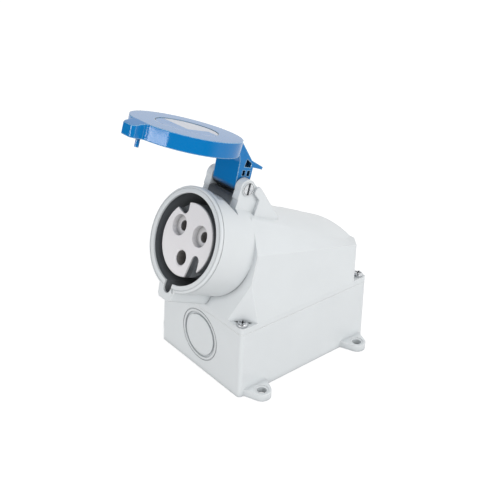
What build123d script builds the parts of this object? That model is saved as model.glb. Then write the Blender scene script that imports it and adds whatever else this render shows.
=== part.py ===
"""Surface-mounted 16 A industrial wall socket with a hinged lid, lying on its back.

Units are millimetres. The origin is the centre of the back face, Z points away from the wall,
and the mouth looks along -Y. The socket parts are drawn in their own frame (x across, y up the
face towards the hinge, z out of the mouth) and put in place at the end.
"""

import os
from math import cos, radians, sin, sqrt

from build123d import *

# Base box and cover outline.
BASE_WIDTH = 67.5
BASE_LENGTH = 91.0
LEDGE_WIDTH = 66.2
LEDGE_LENGTH = 88.2
SEAM_Z = 36.2
LEDGE_Z = 39.5
CORNER = 2.0
WALL = 2.5
SEAL_SIZE = 0.9
SEAL_INSET = 0.7

# Wall fixing lugs.
LUG_REACH = 5.15
LUG_END_DISTANCE = 10.6
LUG_ROOT_INSET = 3.15
LUG_X = BASE_WIDTH / 2 + LUG_REACH
LUG_Y = BASE_LENGTH / 2 - LUG_END_DISTANCE
LUG_END = 5.0
LUG_HEIGHT = 3.8
LUG_HOLE = 2.55
LUG_ROOT = 8.8

# Cable knockouts in the two short ends.
KNOCKOUT_Z = 20.0
KNOCKOUT_GROOVES = ((14.4, 13.8, 0.5), (12.7, 11.2, 1.0))

# Cover screws and the notches they stand in.
SCREW_INSET_X = 3.5
SCREW_INSET_Y = 3.1
SCREW_X = LEDGE_WIDTH / 2 - SCREW_INSET_X
SCREW_Y = LEDGE_LENGTH / 2 - SCREW_INSET_Y
POST_RADIUS = 3.6
SCREW_RADIUS = 1.45
HEAD_RADIUS = 2.6
HEAD_HEIGHT = 1.9
SCREW_LENGTH = 18.0
THREAD_CLEARANCE = 0.05
NOTCH_LENGTH = 10.1
NOTCH_WIDTH = 11.4
NOTCH_SIDE_Y = LEDGE_LENGTH / 2 - NOTCH_LENGTH
NOTCH_END_X = LEDGE_WIDTH / 2 - NOTCH_WIDTH

# Cover body above the ledge.
BODY_TOP_Z = 76.0
SIDE_LEAN = 0.137
FRONT_LEAN = 0.354
SHOULDER_Z = 73.7
SHOULDER_SETBACK = 12.1
SHOULDER_Y = -LEDGE_LENGTH / 2 + SHOULDER_SETBACK
SADDLE_START = 15.0
SADDLE_END = LEDGE_LENGTH + 16.8
SHOULDER_SLOPE = 0.2017

# Socket frame: centre of the mouth and its tilt above the wall.
MOUTH_OVERHANG = 10.4
MOUTH_Y = -LEDGE_LENGTH / 2 - MOUTH_OVERHANG
MOUTH_Z = 78.4
TILT = 23.6

# Barrel, mouth and what sits in it.
BARREL_RADIUS = 26.0
MOUTH_RADIUS = 22.45
LIP_DEPTH = 1.25
RING_EDGE = 0.9
BORE_RADIUS = 23.45
BORE_TOP = 23.05
BORE_DEPTH = 40.0
TOP_FLAT = 24.2
FLAT_START = 4.0
NOSE_DEPTH = 23.0
KEY_RIB_DEPTH = 24.5
SLEEVE_CLEARANCE = 0.05
RING_LINE = 24.7
RING_LINE_WIDTH = 0.3
RING_LINE_DEPTH = 0.25
FACE_RADIUS = 18.0
FACE_DEPTH = 1.84
FACE_THICKNESS = 4.5
FACE_LIP = 1.0
FACE_SEAT = 16.8
SEAT_CLEARANCE = 0.05
CUTOUT_WALL = 0.9
CUTOUT_FLOOR = -5.5
CONTACT_CIRCLE = 9.3
EARTH_BORE = 3.55
POLE_BORE = 2.55
HOLE_MARGIN = 0.1
HOLE_LIP = 0.6
POLE_RECESS = 5.25
POLE_RECESS_DEPTH = 3.2
POLE_ANGLES = (30, 150)
KEY_WIDTH = 2.9
KEY_BOTTOM = 27.7
KEY_LINING = 1.0
KEY_RIB_WIDTH = 5.0
KEY_RIB_BOTTOM = 31.2

# Hinge: pin axis, ears and their gussets.
PIN_Y = 32.7
PIN_Z = -16.4
PIN_RADIUS = 2.0
PIN_CLEARANCE = 0.05
PIN_HEAD_RADIUS = 2.95
PIN_HEAD_HEIGHT = 1.2
EAR_INNER = 8.95
EAR_OUTER = 13.2
EAR_ROUND = 4.5
EAR_FRONT = -12.4
BOSS_RADIUS = 3.45
BOSS_OUTER = 14.0
GUSSET_OUTER = 15.1
SHROUD_TOP = 27.9
WEB_FRONT = -21.6
WEB_TOP = 34.5
WEB_THICKNESS = 2.0
HINGE_GAP = 0.35

# Lid, drawn closed and then swung open.
LID_OPEN = 83.0
LID_TOP = 7.1
LID_BOTTOM = 0.1
LID_PLATE = 2.0
SKIRT = 1.8
LID_CENTRE_Y = -1.0
TAB_TIP = 32.4
TAB_WIDTH = 4.5
TAB_TIP_TOP = 5.0
HUB_RADIUS = 4.0
TAB_START = 23.0
TAB_FLARE = 1.8
TAB_FLARE_END = 26.0
TAB_NECK = 28.8
TAB_CORNER = 1.6
ARM_ROOT = 21.0
ARM_SHOULDER_Y = 25.0
ARM_SHOULDER_Z = 6.0
ARM_BEND_Y = 35.3
ARM_BEND_Z = -3.6
ARM_NECK_Y = 37.2
ARM_NECK_Z = -11.6
ARM_FRONT_TOP = 26.0
ARM_FRONT_Y = 27.8
ARM_FRONT_Z = -4.8
ARM_HEEL_Y = 28.3
ARM_HEEL_Z = -11.3
TAIL_TIP_Y = 43.4
TAIL_TIP_Z = -6.3
TAIL_UNDER_Y = 43.1
TAIL_UNDER_Z = -7.7
TAIL_ROOT_Y = 37.0
TAIL_ROOT_Z = -7.0
POCKET_DEPTH = 4.5
LABEL_RADIUS = 14.2
LABEL_SEAT = 14.6
LABEL_SEAT_DEPTH = 0.5
LABEL_THICKNESS = 0.3
PEG_X = 1.0
PEG_Y = -26.2
PEG_RADIUS = 1.0
PEG_TIP = -4.2
RING_MARK_X = 4.4
RING_MARK_Y = -25.2
GASKET_OUTER = 24.0
GASKET_INNER = 20.6

# Contacts and terminals behind the mouth.
CONTACT_WALL = 1.1
SPRING_FRONT = -9.5
TERMINAL_SIZE = 8.0
TERMINAL_DEPTH = 11.0
HOLDER_SEAT = 2.5
TERMINAL_SCREW_DROP = 1.0
HOLDER_THICKNESS = 5.0
HOLDER_RADIUS = 19.0
CARRIER_SCREW_X = 13.6
CARRIER_SCREW_Y = -24.6

tilt = radians(TILT)
FACE = Plane(origin=(0, MOUTH_Y, MOUTH_Z), x_dir=(1, 0, 0), z_dir=(0, -cos(tilt), sin(tilt)))
PIN_AXIS = Axis((0, PIN_Y, PIN_Z), (1, 0, 0))
CORNERS = ((1, 1), (1, -1), (-1, 1), (-1, -1))


def placed(shape):
    """Moves a shape from the socket's frame to the wall's frame."""
    return FACE.location * shape


def opened(shape):
    """Swings a lid part open about the hinge pin and puts it in place."""
    return placed(shape.rotate(PIN_AXIS, -LID_OPEN))


def side_prism(points, x_from, x_to):
    """A solid drawn in side view as (y, z) points and reaching from one x to another."""
    side = Plane(origin=(x_from, 0, 0), x_dir=(0, 1, 0), z_dir=(1, 0, 0))
    return extrude(side * Polygon(*points, align=None), x_to - x_from, dir=(1, 0, 0))


def rod(radius, x, y, z_from, z_to):
    """A round bar along the z axis."""
    return Pos(x, y, z_from) * extrude(Circle(radius), z_to - z_from, dir=(0, 0, 1))


def cross_rod(radius, y, z, x_from, x_to):
    """A round bar along the x axis."""
    side = Plane(origin=(x_from, y, z), x_dir=(0, 1, 0), z_dir=(1, 0, 0))
    return extrude(side * Circle(radius), x_to - x_from, dir=(1, 0, 0))


def box(x_from, x_to, y_from, y_to, z_from, z_to):
    """A box given by its limits on the three axes."""
    size = (x_to - x_from, y_to - y_from, z_to - z_from)
    return Pos(x_from, y_from, z_from) * Box(*size, align=(Align.MIN, Align.MIN, Align.MIN))


def outline_at(z):
    """Width and length of the box at a height, with the walls leaning in a little."""
    share = z / LEDGE_Z
    width = BASE_WIDTH + (LEDGE_WIDTH - BASE_WIDTH) * share
    length = BASE_LENGTH + (LEDGE_LENGTH - BASE_LENGTH) * share
    return width, length


def rounded_block(z_from, z_to, inset=0.0):
    """The box outline between two heights, set in from the outside by a wall."""
    faces = []
    for z in (z_from, z_to):
        width, length = outline_at(z)
        corner = max(CORNER - inset, 0.5)
        faces.append(Pos(0, 0, z) * RectangleRounded(width - 2 * inset, length - 2 * inset, corner))
    return loft(faces, ruled=True)


def lug(side_x, side_y):
    """One wall lug: a rounded tongue with a screw hole and a shallow seat round it."""
    end = Pos(LUG_X, LUG_Y) * Circle(LUG_END)
    root_x = BASE_WIDTH / 2 - LUG_ROOT_INSET
    root = Line((root_x, LUG_Y - LUG_ROOT), (root_x, LUG_Y + LUG_ROOT))
    tongue = extrude(make_hull(end.edges() + root.edges()), LUG_HEIGHT, dir=(0, 0, 1))
    tongue -= rod(LUG_HOLE, LUG_X, LUG_Y, 0, LUG_HEIGHT)
    tongue -= rod(LUG_HOLE + 1.1, LUG_X, LUG_Y, LUG_HEIGHT - 0.4, LUG_HEIGHT)
    if side_x < 0:
        tongue = tongue.mirror(Plane.YZ)
    if side_y < 0:
        tongue = tongue.mirror(Plane.XZ)
    return tongue


def knockout_grooves():
    """The rings round the cable entry, cut square to the sloping end wall."""
    lean = (BASE_LENGTH - LEDGE_LENGTH) / 2 / LEDGE_Z
    wall_y = -BASE_LENGTH / 2 + lean * KNOCKOUT_Z
    end = Plane(origin=(0, wall_y, KNOCKOUT_Z), x_dir=(1, 0, 0), z_dir=(0, -1, lean))
    rings = Part()
    for outer, inner, depth in KNOCKOUT_GROOVES:
        rings += extrude(end * (Circle(outer) - Circle(inner)), -depth)
    return rings


def make_base_box():
    """The tray that is screwed to the wall."""
    tray = rounded_block(0, SEAM_Z)
    for side_x, side_y in CORNERS:
        tray += lug(side_x, side_y)
    hollow = rounded_block(WALL, SEAM_Z, WALL)
    for side_x, side_y in CORNERS:
        hollow -= rod(POST_RADIUS, side_x * SCREW_X, side_y * SCREW_Y, 0, SEAM_Z)
    tray -= hollow
    front = knockout_grooves()
    tray -= front
    tray -= front.mirror(Plane.XZ)
    for side_x, side_y in CORNERS:
        hole = SCREW_RADIUS + THREAD_CLEARANCE
        tray -= rod(hole, side_x * SCREW_X, side_y * SCREW_Y, SEAM_Z - SCREW_LENGTH, SEAM_Z)
    return tray - make_cover_seal()


def make_cover_seal():
    """The rubber cord in the groove along the top edge of the base box."""
    low = SEAM_Z - SEAL_SIZE
    outer = rounded_block(low, SEAM_Z, SEAL_INSET)
    return outer - rounded_block(low, SEAM_Z, SEAL_INSET + SEAL_SIZE)


def lower_body(inset=0.0):
    """The part of the cover with the box's own walls, up to the sloping shoulder."""
    width = LEDGE_WIDTH / 2 - inset
    length = LEDGE_LENGTH / 2 - inset
    rise = BODY_TOP_Z - LEDGE_Z
    low = Pos(0, 0, LEDGE_Z) * Rectangle(2 * width, 2 * length)
    top_width = width - SIDE_LEAN * rise
    top_front = -length + FRONT_LEAN * rise
    middle = (length + top_front) / 2
    high = Pos(0, middle, BODY_TOP_Z) * Rectangle(2 * top_width, length - top_front)
    walls = loft([low, high], ruled=True)
    shoulder_drop = inset * sqrt(1 + SHOULDER_SLOPE ** 2)
    front_z = SHOULDER_Z - shoulder_drop + SHOULDER_SLOPE * (SHOULDER_Y + BASE_LENGTH)
    back_z = SHOULDER_Z - shoulder_drop + SHOULDER_SLOPE * (SHOULDER_Y - BASE_LENGTH)
    points = ((-BASE_LENGTH, 0), (BASE_LENGTH, 0), (BASE_LENGTH, back_z), (-BASE_LENGTH, front_z))
    below = side_prism(points, -BASE_WIDTH, BASE_WIDTH)
    return walls & below


def saddle_section(depth, inset):
    """Cross-section of the sloping top: crown, ridge, flank and shoulder edge."""
    share = (depth - 22.0) / 75.0
    crest = 24.1 + 0.1 * share - inset
    ridge = (17.0 + 5.0 * share - inset * 0.6, 20.0 - 0.4 * share - inset)
    flank = (21.4 + 3.6 * share - inset, 14.8 + 5.1 * share - inset * 0.7)
    edge = (28.4 + 2.1 * share - inset, 4.9 + 15.6 * share - inset)
    foot = (edge[0], -12.0)
    crown = ThreePointArc((-ridge[0], ridge[1]), (0, crest), ridge)
    right = Polyline(ridge, flank, edge, foot)
    left = Polyline((-foot[0], foot[1]), (-edge[0], edge[1]), (-flank[0], flank[1]), (-ridge[0], ridge[1]))
    bottom = Line(foot, (-foot[0], foot[1]))
    return Pos(0, 0, -depth) * make_face(crown + right + left + bottom)


def saddle(inset=0.0):
    """The sloping upper body behind the barrel, running parallel to the socket."""
    block = loft([saddle_section(SADDLE_START, inset), saddle_section(SADDLE_END, inset)], ruled=True)
    block = placed(block)
    length = LEDGE_LENGTH / 2 - inset
    front_z = LEDGE_Z + (BASE_LENGTH * 2) / 2
    points = (
        (-length, LEDGE_Z),
        (length, LEDGE_Z),
        (length, front_z),
        (-length + FRONT_LEAN * (front_z - LEDGE_Z), front_z),
    )
    return block & side_prism(points, -BASE_WIDTH, BASE_WIDTH)


def corner_notch(side_x, side_y, wall=0.0):
    """The upright cut across a corner that makes room for a cover screw."""
    side_y_at = NOTCH_SIDE_Y - wall * 1.5
    end_x_at = NOTCH_END_X - wall * 1.3
    far = BASE_LENGTH
    points = (
        (LEDGE_WIDTH / 2, side_y_at),
        (end_x_at, LEDGE_LENGTH / 2),
        (end_x_at, far),
        (far, far),
        (far, side_y_at),
    )
    cut = Pos(0, 0, LEDGE_Z) * extrude(Polygon(*points, align=None), BODY_TOP_Z, dir=(0, 0, 1))
    if side_x < 0:
        cut = cut.mirror(Plane.YZ)
    if side_y < 0:
        cut = cut.mirror(Plane.XZ)
    return cut


def barrel():
    """The round barrel: ring face, rounded edge, fine groove and tube wall, bore still closed."""
    radius = BARREL_RADIUS
    outline = Polyline((0, 0), (radius - RING_EDGE, 0))
    outline += RadiusArc((radius - RING_EDGE, 0), (radius, -RING_EDGE), RING_EDGE)
    outline += Polyline(
        (radius, -RING_EDGE),
        (radius, -1.35),
        (radius - 0.35, -1.35),
        (radius - 0.35, -1.75),
        (radius, -1.75),
        (radius, -BORE_DEPTH),
        (0, -BORE_DEPTH),
        (0, 0),
    )
    side = Plane(origin=(0, 0, 0), x_dir=(1, 0, 0), z_dir=(0, -1, 0))
    return revolve(side * make_face(outline), Axis.Z)


def key_shape(half_width, bottom, z_from, z_to):
    """A keyway block below the mouth with a rounded lower end."""
    end = Pos(0, -bottom + half_width) * Circle(half_width)
    shaft = Polygon(
        (-half_width, -bottom + half_width),
        (half_width, -bottom + half_width),
        (half_width, -MOUTH_RADIUS + 1.5),
        (-half_width, -MOUTH_RADIUS + 1.5),
        align=None,
    )
    return Pos(0, 0, z_from) * extrude(end + shaft, z_to - z_from, dir=(0, 0, 1))


def key_rib(z_from, z_to):
    """The rib under the barrel that carries the keyway, with a flat underside."""
    points = (
        (-KEY_RIB_WIDTH - 1.6, -BARREL_RADIUS + 2.0),
        (-KEY_RIB_WIDTH, -KEY_RIB_BOTTOM + 1.5),
        (-KEY_RIB_WIDTH + 1.5, -KEY_RIB_BOTTOM),
        (KEY_RIB_WIDTH - 1.5, -KEY_RIB_BOTTOM),
        (KEY_RIB_WIDTH, -KEY_RIB_BOTTOM + 1.5),
        (KEY_RIB_WIDTH + 1.6, -BARREL_RADIUS + 2.0),
    )
    return Pos(0, 0, z_from) * extrude(Polygon(*points, align=None), z_to - z_from, dir=(0, 0, 1))


def bore(radius, top, z_from, z_to):
    """A round bar along the socket axis with its top planed flat."""
    return rod(radius, 0, 0, z_from, z_to) & box(-radius, radius, -radius, top, z_from, z_to)


def ear_plate():
    """One hinge ear and its gusset, seen from the side, on the +X side."""
    slope_foot = (22.4, -42.0)
    run = (slope_foot[0] - PIN_Y, slope_foot[1] - PIN_Z)
    length = sqrt(run[0] ** 2 + run[1] ** 2)
    along = (run[0] / length, run[1] / length)
    tangent = (PIN_Y - along[1] * EAR_ROUND, PIN_Z + along[0] * EAR_ROUND)
    points = (
        (19.5, EAR_FRONT),
        (PIN_Y, EAR_FRONT),
        (PIN_Y, PIN_Z),
        tangent,
        (22.4 - along[1] * 0.6, -42.0 + along[0] * 0.6),
        (20.2, -42.0),
    )
    plate = side_prism(points, EAR_INNER, EAR_OUTER)
    plate += cross_rod(EAR_ROUND, PIN_Y, PIN_Z, EAR_INNER, EAR_OUTER)
    thick = (
        (31.5, -20.1),
        (28.9, -24.6),
        (19.5, -24.7),
        (19.5, -41.5),
        (22.6, -41.5),
        (35.0, -22.8),
        (34.2, -20.6),
    )
    plate += side_prism(thick, EAR_OUTER, GUSSET_OUTER)
    plate += cross_rod(BOSS_RADIUS, PIN_Y, PIN_Z, EAR_OUTER, BOSS_OUTER)
    return plate


def pin_holes():
    """The pin's bore through both ears and the seats for its head and its clip."""
    cuts = cross_rod(PIN_RADIUS + 0.02, PIN_Y, PIN_Z, -BOSS_OUTER, BOSS_OUTER)
    seat = BOSS_OUTER - PIN_HEAD_HEIGHT
    cuts += cross_rod(PIN_HEAD_RADIUS + 0.1, PIN_Y, PIN_Z, seat, BOSS_OUTER)
    return cuts


def make_cover():
    """The moulded upper shell with barrel, keyway rib and hinge ears in one piece."""
    body = lower_body() + saddle()
    room = lower_body(WALL) + saddle(WALL)
    for side_x, side_y in CORNERS:
        body -= corner_notch(side_x, side_y)
        room -= corner_notch(side_x, side_y, WALL)
    rim = rounded_block(SEAM_Z, LEDGE_Z)
    rim_room = rounded_block(SEAM_Z, LEDGE_Z, WALL)
    for side_x, side_y in CORNERS:
        post = rod(POST_RADIUS, side_x * SCREW_X, side_y * SCREW_Y, SEAM_Z, LEDGE_Z)
        rim_room -= post
    rim_room -= placed(barrel())
    tube = placed(barrel())
    front = placed(box(-BASE_WIDTH, BASE_WIDTH, -BASE_WIDTH, BASE_WIDTH, -NOSE_DEPTH, BASE_WIDTH))
    nose = tube & front
    nose -= placed(box(-BASE_WIDTH, BASE_WIDTH, TOP_FLAT, BASE_WIDTH, -BASE_WIDTH, -FLAT_START))
    tail = (tube & body) - front
    shell = (body - room) + (rim - rim_room) + tail + nose
    shell += placed(key_rib(-KEY_RIB_DEPTH, 0))
    for mirrored in (False, True):
        ear = ear_plate()
        if mirrored:
            ear = ear.mirror(Plane.YZ)
        shell += placed(ear)
    web = (
        (21.5, WEB_FRONT),
        (WEB_TOP, WEB_FRONT),
        (WEB_TOP - 1.2, WEB_FRONT - WEB_THICKNESS),
        (21.5, WEB_FRONT - WEB_THICKNESS),
    )
    shell += placed(side_prism(web, -EAR_INNER, EAR_INNER))
    for side in (-1, 1):
        boss = rod(3.4, side * CARRIER_SCREW_X, CARRIER_SCREW_Y, -BORE_DEPTH, -BORE_DEPTH + 9)
        shell += placed(boss)
    cuts = rod(MOUTH_RADIUS, 0, 0, -LIP_DEPTH, 1)
    cuts += bore(BORE_RADIUS, BORE_TOP, -BORE_DEPTH - 20, -LIP_DEPTH)
    cuts += key_shape(KEY_WIDTH, KEY_BOTTOM, -LIP_DEPTH, 1)
    lining = KEY_LINING + SLEEVE_CLEARANCE
    cuts += key_shape(KEY_WIDTH + lining, KEY_BOTTOM + lining, -BORE_DEPTH - 20, -LIP_DEPTH)
    trench = side_prism(((24.6, -7.3), (20.0, -12.9), (26.5, -12.9), (26.5, -7.3)), -21, 21)
    cuts += trench - rod(BORE_RADIUS + 0.6, 0, 0, -20, 0)
    cuts += pin_holes()
    mark = Pos(RING_MARK_X, RING_MARK_Y, -0.5) * Rot(0, 0, -60) * extrude(SlotOverall(2.6, 0.9), 1.5)
    cuts += mark
    line = rod(RING_LINE + RING_LINE_WIDTH / 2, 0, 0, -RING_LINE_DEPTH, 1)
    line -= rod(RING_LINE - RING_LINE_WIDTH / 2, 0, 0, -RING_LINE_DEPTH, 1)
    cuts += line
    for side in (-1, 1):
        hole = SCREW_RADIUS + THREAD_CLEARANCE
        cuts += rod(hole, side * CARRIER_SCREW_X, CARRIER_SCREW_Y, -BORE_DEPTH, -BORE_DEPTH + 8)
    shell -= placed(cuts)
    for side_x, side_y in CORNERS:
        shell -= rod(SCREW_RADIUS + 0.3, side_x * SCREW_X, side_y * SCREW_Y, SEAM_Z, LEDGE_Z)
    return shell


def pan_screw(radius, length, head_radius, head_height):
    """A cross-recess screw with its head on z = 0 and its shank below."""
    head = rod(head_radius, 0, 0, 0, head_height)
    head = fillet(head.edges().sort_by(Axis.Z)[-1], head_height * 0.55)
    screw = head + rod(radius, 0, 0, -length, 0)
    depth = head_height * 0.6
    arm = head_radius * 0.65
    width = head_radius * 0.14
    screw -= box(-arm, arm, -width, width, head_height - depth, head_height)
    screw -= box(-width, width, -arm, arm, head_height - depth, head_height)
    return screw


def make_cover_screws():
    """The four screws that hold the cover on the base box."""
    screws = []
    for count, (side_x, side_y) in enumerate(CORNERS):
        screw = pan_screw(SCREW_RADIUS, SCREW_LENGTH, HEAD_RADIUS, HEAD_HEIGHT)
        place = Pos(side_x * SCREW_X, side_y * SCREW_Y, LEDGE_Z)
        screws.append(place * screw.rotate(Axis.Z, 20 + 25 * count))
    return Compound(children=screws)


def contact_spots():
    """Centre and bore radius of the earth, line and neutral contacts."""
    spots = [(0.0, -CONTACT_CIRCLE, EARTH_BORE)]
    for angle in POLE_ANGLES:
        x = CONTACT_CIRCLE * cos(radians(angle))
        y = CONTACT_CIRCLE * sin(radians(angle))
        spots.append((x, y, POLE_BORE))
    return spots


def contact_front(radius):
    """How far forward a contact reaches: just behind the lip of its hole in the white face."""
    if radius == POLE_BORE:
        return -FACE_DEPTH - POLE_RECESS_DEPTH - HOLE_LIP - SEAT_CLEARANCE
    return -FACE_DEPTH - FACE_LIP - SEAT_CLEARANCE


def face_cutouts(z_from, z_to, wall=0.0):
    """The finger notch and the slot that both break the rim of the white face, widened by a wall."""
    slot_end = Pos(10.6, -7.0) * Circle(2.6)
    slot_rim = Line((6.6, -17.6), (14.0, -12.6))
    slot = make_hull(slot_end.edges() + slot_rim.edges())
    notch_end = Pos(-7.8, 13.4) * Circle(2.7)
    notch_rim = Line((-14.4, 12.6), (-6.0, 18.0))
    notch = make_hull(notch_end.edges() + notch_rim.edges())
    outlines = slot + notch
    if wall > 0:
        outlines = offset(outlines, amount=wall)
    return Pos(0, 0, z_from) * extrude(outlines, z_to - z_from, dir=(0, 0, 1))


def make_socket_face():
    """The white front plate with the three contact openings."""
    back = -FACE_DEPTH - FACE_THICKNESS
    lip = -FACE_DEPTH - FACE_LIP
    plate = rod(FACE_RADIUS, 0, 0, lip, -FACE_DEPTH)
    plate = chamfer(plate.edges().sort_by(Axis.Z)[-1], 0.3)
    plate += rod(FACE_SEAT, 0, 0, back, lip)
    plate -= face_cutouts(back, 0)
    plate -= face_cutouts(back, lip, CUTOUT_WALL + SEAT_CLEARANCE)
    for x, y, radius in contact_spots():
        sleeve = radius + CONTACT_WALL + SEAT_CLEARANCE
        plate -= rod(sleeve, x, y, back, contact_front(radius) + SEAT_CLEARANCE)
        hole = radius + HOLE_MARGIN
        plate -= rod(hole, x, y, back, 0)
        if radius == POLE_BORE:
            plate -= rod(POLE_RECESS, x, y, -FACE_DEPTH - POLE_RECESS_DEPTH, 0)
        else:
            plate -= Pos(x, y, -FACE_DEPTH - 0.35) * Cone(hole, hole + 0.7, 0.7)
    plate -= rod(SCREW_RADIUS + 0.2, 0, 0, back, back + 2.5)
    return placed(plate)


def make_contact_carrier():
    """The dark sleeve with its keyway lining, floor and core behind the white face."""
    outer = BORE_RADIUS - SLEEVE_CLEARANCE
    top = BORE_TOP - SLEEVE_CLEARANCE
    floor = -BORE_DEPTH
    front = -LIP_DEPTH - SLEEVE_CLEARANCE
    body = bore(outer, top, floor - 2.5, front)
    body += key_shape(KEY_WIDTH + KEY_LINING, KEY_BOTTOM + KEY_LINING, floor - 2.5, front)
    for side in (-1, 1):
        body += rod(3.4, side * CARRIER_SCREW_X, CARRIER_SCREW_Y, floor - 2.5, floor)
        points = ((side * 8, -20), (side * 17.6, -14), (side * 17.8, -25), (side * 12, -28))
        body += Pos(0, 0, floor - 2.5) * extrude(Polygon(*points, align=None), 2.5, dir=(0, 0, 1))
    groove = bore(MOUTH_RADIUS, BORE_TOP - 0.6, floor, 1) - rod(FACE_RADIUS, 0, 0, floor, 1)
    groove += key_shape(KEY_WIDTH, KEY_BOTTOM, floor, 1)
    groove -= rod(FACE_RADIUS, 0, 0, floor, 1)
    body -= groove
    back = -FACE_DEPTH - FACE_THICKNESS
    lip = -FACE_DEPTH - FACE_LIP
    body -= rod(FACE_RADIUS + SEAT_CLEARANCE, 0, 0, lip, 1)
    body -= rod(FACE_SEAT + SEAT_CLEARANCE, 0, 0, back, lip)
    body += face_cutouts(back, lip, CUTOUT_WALL) & rod(FACE_RADIUS, 0, 0, back, lip)
    body -= face_cutouts(CUTOUT_FLOOR, 0)
    for x, y, radius in contact_spots():
        body -= rod(radius + CONTACT_WALL + 0.5, x, y, floor - 2.5, 0)
    body -= rod(SCREW_RADIUS + THREAD_CLEARANCE, 0, 0, floor - 2.5, 0)
    for side in (-1, 1):
        body -= rod(SCREW_RADIUS + 0.2, side * CARRIER_SCREW_X, CARRIER_SCREW_Y, floor - 2.5, floor)
    return placed(body)


def terminal_top():
    """Height of the back of the contact holder, where the terminals begin."""
    return -BORE_DEPTH - HOLDER_SEAT - HOLDER_THICKNESS


def terminal_middle():
    """Height of the terminal screws, a little behind the middle of the blocks."""
    return terminal_top() - TERMINAL_DEPTH / 2 - TERMINAL_SCREW_DROP


def terminal_block(x, y):
    """The square block of a terminal behind the contact holder."""
    half = TERMINAL_SIZE / 2
    top = terminal_top()
    return box(x - half, x + half, y - half, y + half, top - TERMINAL_DEPTH, top)


def contact(x, y, radius):
    """A slotted brass sleeve with its terminal block, wire hole and screw hole."""
    outer = radius + CONTACT_WALL
    top = terminal_top()
    front = contact_front(radius)
    body = rod(outer, x, y, top, front) + terminal_block(x, y)
    body -= rod(radius, x, y, -BORE_DEPTH + 2, front)
    body -= box(x - 0.4, x + 0.4, y - outer, y + outer, front - 17, front)
    body -= rod(2.2, x, y, top - TERMINAL_DEPTH, top - 2)
    side = 1 if y > 0 else -1
    body -= terminal_screw_bar(x, y, side, SCREW_RADIUS + THREAD_CLEARANCE, 5.0)
    return placed(body)


def terminal_screw_bar(x, y, side, radius, reach):
    """The line of a terminal screw, radial to the wire hole."""
    middle = terminal_middle()
    upright = Plane(origin=(x, y, middle), x_dir=(1, 0, 0), z_dir=(0, side, 0))
    return extrude(upright * Circle(radius), reach)


def make_terminal_screws():
    """The three screws that clamp the wires."""
    screws = []
    for x, y, _ in contact_spots():
        side = 1 if y > 0 else -1
        middle = terminal_middle()
        seat = TERMINAL_SIZE / 2
        place = Plane(origin=(x, y + side * seat, middle), x_dir=(1, 0, 0), z_dir=(0, side, 0))
        screws.append(placed(place.location * pan_screw(SCREW_RADIUS, 2.4, 2.3, 1.4)))
    return Compound(children=screws)


def make_wire_clamps():
    """The three small plates between screw tip and wire."""
    plates = []
    for x, y, _ in contact_spots():
        side = 1 if y > 0 else -1
        middle = terminal_middle()
        near = y + side * 0.8
        far = y + side * 1.5
        low, high = min(near, far), max(near, far)
        plates.append(placed(box(x - 1.5, x + 1.5, low, high, middle - 3, middle + 3)))
    return Compound(children=plates)


def make_contact_holder():
    """The rear plate that keeps the contacts in the carrier."""
    front = -BORE_DEPTH - 2.5
    plate = rod(HOLDER_RADIUS, 0, 0, front - HOLDER_THICKNESS, front)
    for x, y, radius in contact_spots():
        plate -= rod(radius + CONTACT_WALL + 0.1, x, y, front - HOLDER_THICKNESS, front)
    plate -= rod(SCREW_RADIUS + 0.2, 0, 0, front - HOLDER_THICKNESS, front)
    return placed(plate)


def make_holder_screw():
    """The middle screw that pulls the holder against the carrier."""
    seat = terminal_top()
    screw = pan_screw(SCREW_RADIUS, 24.0, 2.4, 1.8).rotate(Axis.X, 180)
    return placed(Pos(0, 0, seat) * screw)


def make_carrier_screws():
    """The two screws that hold the carrier in the barrel."""
    seat = -BORE_DEPTH - 2.5
    screws = []
    for side in (-1, 1):
        screw = pan_screw(SCREW_RADIUS, 9.0, HEAD_RADIUS, HEAD_HEIGHT).rotate(Axis.X, 180)
        screws.append(placed(Pos(side * CARRIER_SCREW_X, CARRIER_SCREW_Y, seat) * screw))
    return Compound(children=screws)


def make_contact_springs():
    """Steel rings that keep the slotted sleeves closed."""
    rings = []
    for x, y, radius in contact_spots():
        inner = radius + CONTACT_WALL + 0.02
        back = SPRING_FRONT - 2.0
        ring = rod(inner + 0.4, x, y, back, SPRING_FRONT) - rod(inner, x, y, back, SPRING_FRONT)
        ring -= box(x + 0.5, x + 6, y - 0.5, y + 0.5, back, SPRING_FRONT)
        rings.append(placed(ring))
    return Compound(children=rings)


def make_hinge_shroud(cover):
    """The dark piece between the ears that fills the gap under the lid's arm."""
    back = WEB_FRONT
    half = EAR_INNER - 0.15
    points = (
        (21.0, EAR_FRONT),
        (SHROUD_TOP - 1.0, EAR_FRONT),
        (SHROUD_TOP, EAR_FRONT - 1.0),
        (SHROUD_TOP, back),
        (21.0, back),
    )
    block = side_prism(points, -half, half) - rod(BORE_RADIUS + 0.7, 0, 0, back - 1, 0)
    return placed(block) - cover


def make_hinge_pin():
    """The slotted metal pin through both ears."""
    seat = BOSS_OUTER - PIN_HEAD_HEIGHT
    pin = cross_rod(PIN_RADIUS, PIN_Y, PIN_Z, -EAR_OUTER - 2.0, seat)
    pin += cross_rod(PIN_HEAD_RADIUS, PIN_Y, PIN_Z, seat, BOSS_OUTER)
    slot = box(BOSS_OUTER - 0.8, BOSS_OUTER + 1, -4, 4, -0.5, 0.5)
    slot = slot.rotate(Axis.X, 9)
    pin -= Pos(0, PIN_Y, PIN_Z) * slot
    return placed(pin)


def make_pin_retainer():
    """The push-on clip at the far end of the hinge pin."""
    near = -BOSS_OUTER
    clip = cross_rod(3.2, PIN_Y, PIN_Z, near - 0.6, near)
    clip -= cross_rod(PIN_RADIUS + 0.02, PIN_Y, PIN_Z, near - 0.6, near)
    return placed(clip)


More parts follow.
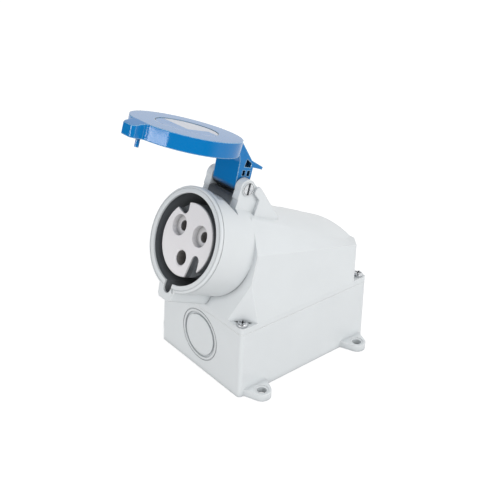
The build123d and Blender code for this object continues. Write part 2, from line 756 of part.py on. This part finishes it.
def lid_outline():
    """Top view of the lid: round, with the thumb tab below."""
    disc = Pos(0, LID_CENTRE_Y) * Circle(BARREL_RADIUS)
    tab = Polygon(
        (-TAB_WIDTH - TAB_FLARE, -TAB_START),
        (-TAB_WIDTH - TAB_FLARE, -TAB_FLARE_END),
        (-TAB_WIDTH - 0.5, -TAB_FLARE_END - 1.1),
        (-TAB_WIDTH, -TAB_NECK),
        (-TAB_WIDTH, -TAB_TIP + TAB_CORNER),
        (-TAB_WIDTH + 1.4, -TAB_TIP),
        (TAB_WIDTH - 1.4, -TAB_TIP),
        (TAB_WIDTH, -TAB_TIP + TAB_CORNER),
        (TAB_WIDTH, -TAB_NECK),
        (TAB_WIDTH + 0.5, -TAB_FLARE_END - 1.1),
        (TAB_WIDTH + TAB_FLARE, -TAB_FLARE_END),
        (TAB_WIDTH + TAB_FLARE, -TAB_START),
        align=None,
    )
    return disc + tab


def lid_arm():
    """Arm, hub and tail of the lid with the open pockets in its sides."""
    points = (
        (ARM_ROOT, LID_TOP),
        (ARM_SHOULDER_Y, ARM_SHOULDER_Z),
        (ARM_BEND_Y, ARM_BEND_Z),
        (TAIL_TIP_Y, TAIL_TIP_Z),
        (TAIL_UNDER_Y, TAIL_UNDER_Z),
        (TAIL_ROOT_Y, TAIL_ROOT_Z),
        (ARM_NECK_Y, ARM_NECK_Z),
        (PIN_Y + HUB_RADIUS, PIN_Z),
        (PIN_Y, PIN_Z),
        (PIN_Y - HUB_RADIUS, PIN_Z),
        (ARM_HEEL_Y, ARM_HEEL_Z),
        (ARM_FRONT_Y, ARM_FRONT_Z),
        (ARM_FRONT_TOP, LID_BOTTOM),
        (ARM_ROOT, LID_BOTTOM),
    )
    half = EAR_INNER - HINGE_GAP
    arm = side_prism(points, -half, half)
    arm += cross_rod(HUB_RADIUS, PIN_Y, PIN_Z, -half, half)
    pockets = (
        ((31.4, -7.0), (32.1, -3.2), (35.6, -5.2), (35.6, -7.2)),
        ((31.0, -8.8), (32.8, -8.8), (32.8, -11.4), (31.0, -11.4)),
        ((34.0, -8.8), (35.8, -8.8), (35.8, -11.4), (34.0, -11.4)),
    )
    for pocket in pockets:
        arm -= side_prism(pocket, half - POCKET_DEPTH, half)
        arm -= side_prism(pocket, -half, -half + POCKET_DEPTH)
    return arm


def make_lid():
    """The blue lid: plate, skirt, tab with its peg, label seat, arm and hub."""
    height = LID_TOP - LID_BOTTOM
    lid = Pos(0, 0, LID_BOTTOM) * extrude(lid_outline(), height, dir=(0, 0, 1))
    above = LID_TOP + 2.0
    past_tip = -TAB_TIP - 1.0
    tip_slope = (
        (-TAB_FLARE_END, LID_TOP),
        (past_tip, TAB_TIP_TOP),
        (past_tip, above),
        (-TAB_FLARE_END, above),
    )
    lid -= side_prism(tip_slope, -TAB_WIDTH * 2, TAB_WIDTH * 2)
    lid += lid_arm()
    inner = rod(BARREL_RADIUS - SKIRT, 0, LID_CENTRE_Y, LID_BOTTOM - 2, LID_TOP - LID_PLATE)
    tab_room = box(-TAB_WIDTH + SKIRT, TAB_WIDTH - SKIRT, -TAB_TIP + SKIRT, -20, LID_BOTTOM - 1, 3.4)
    lid -= inner
    lid -= tab_room
    lid += rod(PEG_RADIUS, PEG_X, PEG_Y, PEG_TIP, LID_TOP - LID_PLATE + 0.5)
    lid -= rod(LABEL_SEAT, 0, LID_CENTRE_Y, LID_TOP - LABEL_SEAT_DEPTH, LID_TOP)
    lid -= cross_rod(PIN_RADIUS + PIN_CLEARANCE, PIN_Y, PIN_Z, -12, 12)
    return opened(lid)


def make_lid_gasket():
    """The sealing ring pressed into the lid."""
    top = LID_TOP - LID_PLATE
    ring = rod(GASKET_OUTER, 0, LID_CENTRE_Y, LID_BOTTOM + 0.3, top)
    ring -= rod(GASKET_INNER, 0, LID_CENTRE_Y, LID_BOTTOM + 0.3, top)
    return opened(ring)


def make_lid_label():
    """The blank disc stuck in the lid's shallow seat."""
    floor = LID_TOP - LABEL_SEAT_DEPTH
    return opened(rod(LABEL_RADIUS, 0, LID_CENTRE_Y, floor, floor + LABEL_THICKNESS))


def main():
    os.makedirs("parts", exist_ok=True)
    cover = make_cover()
    earth, line, neutral = contact_spots()
    nodes = {
        "base_box": make_base_box(),
        "cover": cover,
        "cover_seal": make_cover_seal(),
        "cover_screws": make_cover_screws(),
        "contact_carrier": make_contact_carrier(),
        "socket_face": make_socket_face(),
        "contact_holder": make_contact_holder(),
        "earth_contact": contact(*earth),
        "line_contact": contact(*line),
        "neutral_contact": contact(*neutral),
        "contact_springs": make_contact_springs(),
        "terminal_screws": make_terminal_screws(),
        "wire_clamps": make_wire_clamps(),
        "holder_screw": make_holder_screw(),
        "carrier_screws": make_carrier_screws(),
        "hinge_shroud": make_hinge_shroud(cover),
        "hinge_pin": make_hinge_pin(),
        "pin_retainer": make_pin_retainer(),
        "lid": make_lid(),
        "lid_gasket": make_lid_gasket(),
        "lid_label": make_lid_label(),
    }
    for name, shape in nodes.items():
        export_step(shape, f"parts/{name}.step")


main()
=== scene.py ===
from math import cos, radians, sin

import bpy
import numpy as np
from mathutils import Matrix, Vector

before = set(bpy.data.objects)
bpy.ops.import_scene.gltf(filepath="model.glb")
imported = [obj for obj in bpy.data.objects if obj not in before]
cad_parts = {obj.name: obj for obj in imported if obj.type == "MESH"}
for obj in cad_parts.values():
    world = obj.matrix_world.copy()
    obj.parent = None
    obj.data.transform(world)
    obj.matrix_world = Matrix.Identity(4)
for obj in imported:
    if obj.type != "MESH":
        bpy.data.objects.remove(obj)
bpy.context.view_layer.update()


# The base box is a tray moulded in light grey plastic, screwed to the wall through four lugs.
# Its skin is satin with a fine spark-eroded grain, and every moulded corner is slightly round.

def colour_of(red, green, blue):
    """Screen colour from 0 to 255 a channel, turned to the linear values a shader takes."""
    share = np.array([red, green, blue]) / 255.0
    linear = np.where(share <= 0.04045, share / 12.92, ((share + 0.055) / 1.055) ** 2.4)
    return (*linear.tolist(), 1.0)


def shader_node(tree, kind, inputs=(), **settings):
    """Adds one node. A pair in inputs is a socket's name or number with its value or its source."""
    made = tree.nodes.new(kind)
    for name, value in settings.items():
        setattr(made, name, value)
    for socket, value in inputs:
        if isinstance(value, bpy.types.NodeSocket):
            tree.links.new(value, made.inputs[socket])
        else:
            made.inputs[socket].default_value = value
    return made


def new_material(name):
    """An empty node material with its shader and its output joined."""
    material = bpy.data.materials.new(name)
    material.use_nodes = True
    tree = material.node_tree
    tree.nodes.clear()
    shader = tree.nodes.new("ShaderNodeBsdfPrincipled")
    output = tree.nodes.new("ShaderNodeOutputMaterial")
    tree.links.new(shader.outputs[0], output.inputs[0])
    return material, tree, shader


def noise_on(tree, size, detail=2.0):
    """A noise on the piece's own coordinates, with patches about as wide as size in metres."""
    place = tree.nodes.new("ShaderNodeTexCoord")
    inputs = [("Vector", place.outputs["Object"]), ("Scale", 1.0 / size), ("Detail", detail)]
    return shader_node(tree, "ShaderNodeTexNoise", inputs).outputs[0]


def between(tree, value, low, high, start=0.3, end=0.7):
    """Maps a 0 to 1 pattern on to the span from low to high."""
    inputs = [("Value", value), (1, start), (2, end), (3, low), (4, high)]
    return shader_node(tree, "ShaderNodeMapRange", inputs).outputs[0]


def mixed(tree, share, first, second):
    """Colour that goes from first to second as share goes from 0 to 1."""
    inputs = [(0, share), (6, first), (7, second)]
    return shader_node(tree, "ShaderNodeMix", inputs, data_type="RGBA").outputs[2]


CORNER_STARTS = 0.98
CORNER_FULL = 0.80


def round_corners(tree, radius):
    """The rounded normal, and how far it turns from the flat one as a 0 to 1 corner mask."""
    rounded = shader_node(tree, "ShaderNodeBevel", [("Radius", radius)], samples=6).outputs[0]
    flat = tree.nodes.new("ShaderNodeNewGeometry").outputs["Normal"]
    alike = shader_node(tree, "ShaderNodeVectorMath", [(0, rounded), (1, flat)], operation="DOT_PRODUCT")
    corner = between(tree, alike.outputs["Value"], 0.0, 1.0, start=CORNER_STARTS, end=CORNER_FULL)
    return rounded, corner


HOLLOW_AIR = 0.25
OPEN_AIR = 0.85


def painted_hollow_shading(tree, reach):
    """A 0 to 1 mask of hollows and seams, where little open air lies within reach in metres, for painting
    their shade.
    """
    air = shader_node(tree, "ShaderNodeAmbientOcclusion", [("Distance", reach)], samples=8)
    return between(tree, air.outputs["AO"], 1.0, 0.0, start=HOLLOW_AIR, end=OPEN_AIR)


DRIFT_SIZE = 0.02
DRIFT_SHADE = 0.97
SPECKLE_SIZE = 0.0003
SPECKLE_SHARE = 0.05
GLOSS_PATCH_SIZE = 0.006
GRAIN_STRENGTH = 0.5


def moulded_plastic(
    name, colour, pale_wear_and_highlight, painted_hollow_colour, roughness, gloss_drift, grain, corner_radius, reach, wear_and_highlight=0.6
):
    """Moulded plastic: a slow colour drift, hollows painted with their shade, corners painted paler, uneven
    gloss and a fine grain.

    The pale colour goes on fine flecks and on the corners, partly rubbed wear and partly a painted highlight.
    The hollow colour is painted into hollows and seams as their shade; where it is paler than the plastic, it
    is painted light. Grain is the size and the depth of the skin's texture, corner_radius rounds the corners,
    reach is how wide the hollows are, and the wear share is how strongly the corners show.
    """
    material, tree, shader = new_material(name)
    normal, corner = round_corners(tree, corner_radius)
    drift = between(tree, noise_on(tree, DRIFT_SIZE), 0.0, 1.0)
    drifted = tuple(DRIFT_SHADE * c for c in colour[:3]) + (1.0,)
    shade = mixed(tree, drift, colour, drifted)
    speckle = between(tree, noise_on(tree, SPECKLE_SIZE), 0.0, SPECKLE_SHARE, start=0.5, end=0.8)
    shade = mixed(tree, speckle, shade, pale_wear_and_highlight)
    # Corners are painted pale: partly rubbed wear, partly a painted highlight on the rounded edges.
    wear_and_highlight_share = shader_node(tree, "ShaderNodeMath", [(0, corner), (1, wear_and_highlight)], operation="MULTIPLY").outputs[0]
    shade = mixed(tree, wear_and_highlight_share, shade, pale_wear_and_highlight)
    # Hollows and seams take the hollow colour: painted shade where it is darker, painted light where it is
    # paler.
    shade = mixed(tree, painted_hollow_shading(tree, reach), shade, painted_hollow_colour)
    tree.links.new(shade, shader.inputs["Base Color"])
    gloss_patches = noise_on(tree, GLOSS_PATCH_SIZE, 3.0)
    uneven = between(tree, gloss_patches, roughness - gloss_drift, roughness + gloss_drift)
    tree.links.new(uneven, shader.inputs["Roughness"])
    size, depth = grain
    skin = noise_on(tree, size, 3.0)
    inputs = [("Height", skin), ("Normal", normal), ("Strength", GRAIN_STRENGTH), ("Distance", depth)]
    bump = shader_node(tree, "ShaderNodeBump", inputs)
    tree.links.new(bump.outputs[0], shader.inputs["Normal"])
    return material, tree, shader


def finish_nodes(material, *names):
    """Gives CAD nodes a material in their own slots."""
    for name in names:
        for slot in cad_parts[name].material_slots:
            slot.material = material


# Its corners are painted near white as a highlight on the rounded edges, and its hollows grey as their shade.
housing_skin, _, _ = moulded_plastic(
    "housing_skin",
    colour=colour_of(225, 229, 231),
    pale_wear_and_highlight=colour_of(248, 250, 251),
    painted_hollow_colour=colour_of(186, 191, 194),
    roughness=0.32,
    gloss_drift=0.02,
    grain=(0.0005, 0.000006),
    corner_radius=0.0007,
    reach=0.005,
    wear_and_highlight=1.0,
)
finish_nodes(housing_skin, "base_box", "cover")


# The carrier is a sleeve of dark grey glass-filled nylon, pushed into the barrel from behind.
# The shroud between the hinge ears is moulded in the same dark plastic.

# Its hollows are painted paler than the plastic, as light in the deep groove and notch.
carrier_skin, _, _ = moulded_plastic(
    "carrier_skin",
    colour=colour_of(62, 66, 70),
    pale_wear_and_highlight=colour_of(112, 116, 120),
    painted_hollow_colour=colour_of(136, 140, 144),
    roughness=0.42,
    gloss_drift=0.06,
    grain=(0.0006, 0.00003),
    corner_radius=0.0003,
    reach=0.008,
)
finish_nodes(carrier_skin, "contact_carrier", "hinge_shroud")


# The face is the white thermoset plate with the three contact holes, pressed in one piece.
# It sits in the carrier's seat, and the holder behind it keeps it there.

# Its recesses and hole walls are painted grey as their shade.
face_skin, _, _ = moulded_plastic(
    "face_skin",
    colour=colour_of(236, 234, 236),
    pale_wear_and_highlight=colour_of(252, 252, 252),
    painted_hollow_colour=colour_of(158, 160, 160),
    roughness=0.34,
    gloss_drift=0.05,
    grain=(0.0004, 0.00001),
    corner_radius=0.0003,
    reach=0.006,
)
finish_nodes(face_skin, "socket_face")


# The holder behind the face is a plain grey moulding that keeps the contacts in place.
# One middle screw pulls it against the carrier.

# Its hollows are painted darker grey as their shade.
holder_skin, _, _ = moulded_plastic(
    "holder_skin",
    colour=colour_of(150, 154, 158),
    pale_wear_and_highlight=colour_of(185, 188, 190),
    painted_hollow_colour=colour_of(110, 113, 116),
    roughness=0.45,
    gloss_drift=0.06,
    grain=(0.0006, 0.00002),
    corner_radius=0.0003,
    reach=0.003,
)
finish_nodes(holder_skin, "contact_holder")


# The seal round the base box and the ring in the lid are soft black rubber, matt and a little dusty.
# The first lies in a groove of the box, the second is pressed into the lid.

# Its hollows are painted darker as their shade.
rubber_skin, _, _ = moulded_plastic(
    "rubber_skin",
    colour=colour_of(34, 35, 37),
    pale_wear_and_highlight=colour_of(74, 76, 79),
    painted_hollow_colour=colour_of(26, 27, 28),
    roughness=0.62,
    gloss_drift=0.08,
    grain=(0.0003, 0.00002),
    corner_radius=0.0002,
    reach=0.002,
)
finish_nodes(rubber_skin, "cover_seal", "lid_gasket")


# The lid is moulded in the clear blue that marks this voltage, glossy on top and inside.
# It swings on the hinge pin, and the lower part of its hub is painted dark grey below a soft line.

def along(tree, middle, direction):
    """How far a point lies from a middle point along one direction of the piece.

    The direction's length sets the unit: 1 gives metres, 1000 gives millimetres.
    """
    place = tree.nodes.new("ShaderNodeTexCoord")
    inputs = [(0, place.outputs["Object"]), (1, middle)]
    offset = shader_node(tree, "ShaderNodeVectorMath", inputs, operation="SUBTRACT")
    inputs = [(0, offset.outputs[0]), (1, direction)]
    return shader_node(tree, "ShaderNodeVectorMath", inputs, operation="DOT_PRODUCT").outputs["Value"]


LID_BLUE = colour_of(0, 120, 190)
HUB_DARK_GREY = colour_of(40, 46, 52)
HUB_EDGE = (0.0, -0.02694, 0.10056)
MM_UP_THE_FACE = (0.0, 400.3, 916.4)
HUB_FADE_MM = 1.2
# Its corners are painted pale cyan as a highlight on the rounded edges, and its hollows dark blue as their
# shade.
lid_skin, lid_tree, lid_shader = moulded_plastic(
    "lid_skin",
    colour=LID_BLUE,
    pale_wear_and_highlight=colour_of(182, 222, 242),
    painted_hollow_colour=colour_of(0, 48, 84),
    roughness=0.10,
    gloss_drift=0.02,
    grain=(0.0012, 0.000002),
    corner_radius=0.0008,
    reach=0.004,
    wear_and_highlight=1.0,
)
lid_shader.inputs["IOR"].default_value = 1.38
lid_shader.inputs["Specular IOR Level"].default_value = 0.50
# Below a soft line across the hub's lower part, the blue is painted dark grey.
above_hub_edge = along(lid_tree, HUB_EDGE, MM_UP_THE_FACE)
above_dark_share = between(lid_tree, above_hub_edge, 0.0, 1.0, start=-HUB_FADE_MM, end=HUB_FADE_MM)
blue_shade = lid_shader.inputs["Base Color"].links[0].from_socket
lid_tree.links.new(mixed(lid_tree, above_dark_share, HUB_DARK_GREY, blue_shade), lid_shader.inputs["Base Color"])
finish_nodes(lid_skin, "lid")


# The disc on the lid is a thin film in the lid's blue, with a pale field painted on as the glossy film's
# reflection, and nothing else on it.
# It is stuck in the shallow seat in the lid's top.

LABEL_MIDDLE = (0.0, -0.05205, 0.13366)
MM_ACROSS = (1000.0, 0.0, 0.0)
MM_UP_THE_LABEL = (0.0, 958.3, -285.7)
PAINTED_REFLECTION_PALE = colour_of(190, 196, 210)
REFLECTION_SIDE_MM = 5.5
REFLECTION_LOW_MM = -3.5
REFLECTION_HIGH_MM = 8.3
REFLECTION_EDGE_MM = 0.3
label_skin, label_tree, label_shader = moulded_plastic(
    "label_skin",
    colour=PAINTED_REFLECTION_PALE,
    pale_wear_and_highlight=PAINTED_REFLECTION_PALE,
    painted_hollow_colour=colour_of(60, 80, 100),
    roughness=0.16,
    gloss_drift=0.04,
    grain=(0.0008, 0.000003),
    corner_radius=0.00005,
    reach=0.0006,
)


def past_line(place, line):
    """A 0 to 1 mask of the label that turns to 1 where a place in millimetres passes a line."""
    return between(label_tree, place, 0.0, 1.0, start=line - REFLECTION_EDGE_MM, end=line + REFLECTION_EDGE_MM)


# The pale field is a painted reflection: left of one line and above another, and everywhere past a far line.
across = along(label_tree, LABEL_MIDDLE, MM_ACROSS)
upward = along(label_tree, LABEL_MIDDLE, MM_UP_THE_LABEL)
left_part = shader_node(
    label_tree, "ShaderNodeMath", [(0, 1.0), (1, past_line(across, REFLECTION_SIDE_MM))], operation="SUBTRACT"
).outputs[0]
above_line = past_line(upward, REFLECTION_LOW_MM)
reflection_mask = shader_node(label_tree, "ShaderNodeMath", [(0, left_part), (1, above_line)], operation="MULTIPLY")
far_part = past_line(upward, REFLECTION_HIGH_MM)
reflection_mask = shader_node(label_tree, "ShaderNodeMath", [(0, reflection_mask.outputs[0]), (1, far_part)], operation="MAXIMUM")
label_shade = label_shader.inputs["Base Color"].links[0].from_socket
label_shade = mixed(label_tree, reflection_mask.outputs[0], LID_BLUE, label_shade)
label_tree.links.new(label_shade, label_shader.inputs["Base Color"])
label_shader.inputs["IOR"].default_value = 1.38
finish_nodes(label_skin, "lid_label")


# Screws, hinge pin, clip, springs and clamps are zinc-plated steel, turned or stamped.
# The contacts are brass with a dull grey skin, so they mirror little.

# The dark grey painted into the metal's hollows and corners as their shade.
PAINTED_SHADE_GREY = colour_of(26, 28, 30)
BRIGHT_ZINC = colour_of(226, 228, 230)
DULL_ZINC = colour_of(178, 181, 186)
DULL_PATCH_SIZE = 0.0015
SCUFF_SIZE = 0.0008
TOOL_MARK_SIZE = 0.0002
TOOL_MARK_DEPTH = 0.00001
TOOL_MARK_STRENGTH = 0.4
METAL_SHADE_REACH = 0.0008


def bare_metal(name, colour, dull_colour, roughness, corner_radius, corner_shade=0.0, metallic=1.0):
    """Metal with fine tool marks: one noise for the marks, a slow noise for dull patches, and hollows painted
    dark as shade.

    The corner share is how strongly the corners are painted dark as shade, and metallic is how bare the metal
    is.
    """
    material, tree, shader = new_material(name)
    normal, corner = round_corners(tree, corner_radius)
    patches = between(tree, noise_on(tree, DULL_PATCH_SIZE, 4.0), 0.0, 0.8)
    shade = mixed(tree, patches, colour, dull_colour)
    # Hollows, and corners as far as asked, are painted dark grey as their shade.
    shade = mixed(tree, painted_hollow_shading(tree, METAL_SHADE_REACH), shade, PAINTED_SHADE_GREY)
    corner_shade_share = shader_node(tree, "ShaderNodeMath", [(0, corner), (1, corner_shade)], operation="MULTIPLY").outputs[0]
    shade = mixed(tree, corner_shade_share, shade, PAINTED_SHADE_GREY)
    tree.links.new(shade, shader.inputs["Base Color"])
    uneven = between(tree, noise_on(tree, SCUFF_SIZE, 3.0), roughness - 0.08, roughness + 0.10)
    tree.links.new(uneven, shader.inputs["Roughness"])
    shader.inputs["Metallic"].default_value = metallic
    marks = noise_on(tree, TOOL_MARK_SIZE, 3.0)
    depth = [("Strength", TOOL_MARK_STRENGTH), ("Distance", TOOL_MARK_DEPTH)]
    inputs = [("Height", marks), ("Normal", normal), *depth]
    tree.links.new(shader_node(tree, "ShaderNodeBump", inputs).outputs[0], shader.inputs["Normal"])
    return material


zinc = bare_metal("zinc", BRIGHT_ZINC, DULL_ZINC, 0.24, 0.0002)
finish_nodes(zinc, "cover_screws", "pin_retainer", "contact_springs")
finish_nodes(zinc, "terminal_screws", "wire_clamps", "holder_screw", "carrier_screws")
# Its corners are painted dark as the shade in the gap round its head and in its slot.
pin_zinc = bare_metal("pin_zinc", BRIGHT_ZINC, DULL_ZINC, 0.24, 0.0005, corner_shade=0.9)
finish_nodes(pin_zinc, "hinge_pin")
brass = bare_metal("brass", colour_of(158, 155, 153), colour_of(124, 121, 119), 0.45, 0.0002, metallic=0.2)
finish_nodes(brass, "earth_contact", "line_contact", "neutral_contact")


# The studio: a pale floor that ends on the right and in front, a white room whose mirrored front is dark,
# a soft lamp high on the right and a weak, flat one in front.

PAPER_SHADE = (0.60, 0.60, 0.60, 1.0)
PAPER_DROP = 0.0002
PAPER_RIGHT = 0.36
PAPER_FRONT = -0.45
PAPER_FAR = 6.0
PAPER_LIFT = 0.60
PAPER_MIRRORED = 0.50
ROOM_LIGHT = 0.72
DARK_FRONT = 0.06
DARK_UP_TO = 0.15
WHITE_FROM = 0.50

floor_mesh = bpy.data.meshes.new("studio_floor")
corners = np.array([
    (-PAPER_FAR, PAPER_FRONT),
    (PAPER_RIGHT, PAPER_FRONT),
    (PAPER_RIGHT, PAPER_FAR),
    (-PAPER_FAR, PAPER_FAR),
])
floor_points = np.column_stack([corners, np.full(4, -PAPER_DROP)])
floor_mesh.from_pydata(floor_points.tolist(), [], [(0, 1, 2, 3)])
floor = bpy.data.objects.new("studio_floor", floor_mesh)
bpy.context.scene.collection.objects.link(floor)

paper = bpy.data.materials.new("studio_paper")
paper.use_nodes = True
paper_tree = paper.node_tree
paper_tree.nodes.clear()
paper_path = paper_tree.nodes.new("ShaderNodeLightPath")
matt = shader_node(paper_tree, "ShaderNodeBsdfDiffuse", [("Color", PAPER_SHADE)])
lift = shader_node(
    paper_tree, "ShaderNodeMath",
    [(0, paper_path.outputs["Is Camera Ray"]), (1, PAPER_LIFT)],
    operation="MULTIPLY",
)
lift = shader_node(
    paper_tree, "ShaderNodeMath",
    [(0, paper_path.outputs["Is Glossy Ray"]), (1, PAPER_MIRRORED), (2, lift.outputs[0])],
    operation="MULTIPLY_ADD",
)
glow = shader_node(paper_tree, "ShaderNodeEmission", [("Strength", lift.outputs[0])])
both = shader_node(paper_tree, "ShaderNodeAddShader", [(0, matt.outputs[0]), (1, glow.outputs[0])])
shader_node(paper_tree, "ShaderNodeOutputMaterial", [(0, both.outputs[0])])
floor_mesh.materials.append(paper)

room = bpy.data.worlds.new("studio_room")
room.use_nodes = True
bpy.context.scene.world = room
room_tree = room.node_tree
room_tree.nodes.clear()
room_path = room_tree.nodes.new("ShaderNodeLightPath")
way = room_tree.nodes.new("ShaderNodeTexCoord").outputs["Generated"]
way_back = shader_node(room_tree, "ShaderNodeSeparateXYZ", [(0, way)]).outputs[1]
mirrored = between(room_tree, way_back, DARK_FRONT, 1.0, start=DARK_UP_TO, end=WHITE_FROM)
level = shader_node(
    room_tree, "ShaderNodeMix",
    [(0, room_path.outputs["Is Glossy Ray"]), (2, ROOM_LIGHT), (3, mirrored)],
).outputs[0]
seen = shader_node(
    room_tree, "ShaderNodeMath",
    [(0, room_path.outputs["Is Camera Ray"]), (1, room_path.outputs["Is Transmission Ray"])],
    operation="MAXIMUM",
)
level = shader_node(room_tree, "ShaderNodeMix", [(0, seen.outputs[0]), (2, level), (3, 1.0)]).outputs[0]
sky = shader_node(room_tree, "ShaderNodeBackground", [("Color", (1.0, 1.0, 1.0, 1.0)), ("Strength", level)])
shader_node(room_tree, "ShaderNodeOutputWorld", [(0, sky.outputs[0])])


def soft_lamp(name, turn, height, distance, width, tall, power):
    """A soft box seen from the socket at a turn from straight ahead and a height, both in degrees."""
    lamp = bpy.data.lights.new(name, "AREA")
    lamp.shape = "RECTANGLE"
    lamp.size = width
    lamp.size_y = tall
    lamp.energy = power
    holder = bpy.data.objects.new(name, lamp)
    aim = Vector((0.0, 0.0, 0.10))
    flat = cos(radians(height))
    away = Vector((sin(radians(turn)) * flat, -cos(radians(turn)) * flat, sin(radians(height))))
    holder.location = aim + away * distance
    holder.rotation_mode = "QUATERNION"
    holder.rotation_quaternion = away.to_track_quat("Z", "Y")
    bpy.context.scene.collection.objects.link(holder)


soft_lamp("lamp_right", turn=88.0, height=30.0, distance=1.5, width=1.1, tall=0.9, power=8.6)
soft_lamp("lamp_front", turn=0.0, height=7.2, distance=1.2, width=0.87, tall=0.07, power=2.6)


# The camera stands where the photographer stood: in front, to the right and above.
# It aims at a point 40 mm over the wall plane, moved a little aside and up in the picture.

TURN = radians(49.32)
HEIGHT = radians(27.25)
ROLL = radians(1.84)
DISTANCE = 0.41011
LENS = 55.87
SENSOR = 36.0
AIM_SIDE = -0.01184
AIM_UP = 0.01687
AIM_HEIGHT = 0.040

ahead = np.array([-sin(TURN) * cos(HEIGHT), cos(TURN) * cos(HEIGHT), -sin(HEIGHT)])
level_right = np.array([cos(TURN), sin(TURN), 0.0])
level_up = np.cross(level_right, ahead)
right = level_right * cos(ROLL) + level_up * sin(ROLL)
up = level_up * cos(ROLL) - level_right * sin(ROLL)
target = np.array([0.0, 0.0, AIM_HEIGHT]) + right * AIM_SIDE + up * AIM_UP
eye = target - ahead * DISTANCE

lens = bpy.data.cameras.new("camera")
lens.lens = LENS
lens.sensor_width = SENSOR
lens.clip_start = 0.01
lens.clip_end = 50.0
camera = bpy.data.objects.new("camera", lens)
axes = Matrix((right, up, -ahead)).transposed().to_4x4()
camera.matrix_world = Matrix.Translation(eye) @ axes
bpy.context.scene.collection.objects.link(camera)
bpy.context.scene.camera = camera
bpy.context.scene.view_settings.view_transform = "Standard"
